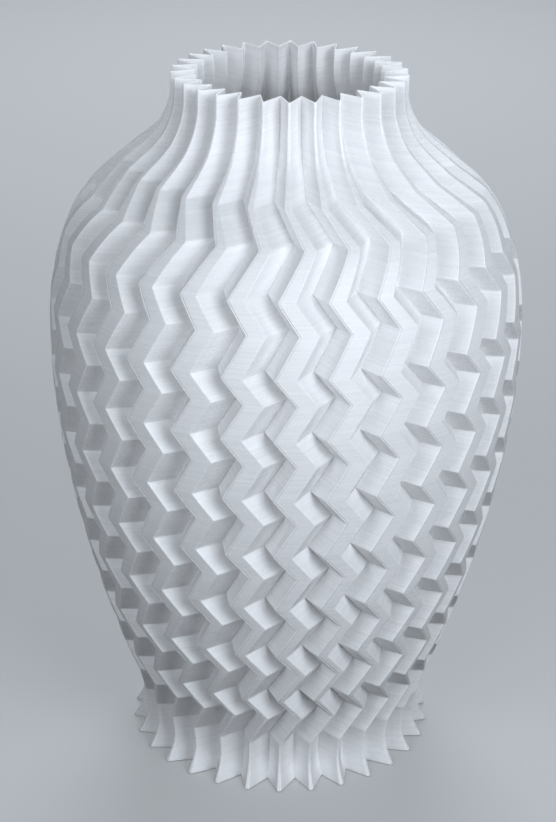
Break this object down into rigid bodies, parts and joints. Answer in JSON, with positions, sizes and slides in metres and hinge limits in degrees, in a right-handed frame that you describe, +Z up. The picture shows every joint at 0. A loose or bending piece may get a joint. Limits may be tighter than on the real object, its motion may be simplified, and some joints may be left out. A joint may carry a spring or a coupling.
{
  "type": "vase",
  "caption": "Open vase in one thin printed shell: sharp pleats run down a narrow neck, zigzag down a swelling body as flat-topped folds, and flare into a toothed foot.",
  "frame": {"origin": "centre of the flat underside of the foot, on the surface the vase stands on", "axes": "+Z up along the vase's axis, out of the mouth; -Y is the side seen in the reference view, with one ridge of the pleats facing it"},
  "size_m": [0.1652, 0.165, 0.25],
  "materials": {
    "white_plastic": "matte, faint level print lines"
  },
  "bodies": {
    "root": {"vase": "white_plastic"}
  },
  "joints": []
}
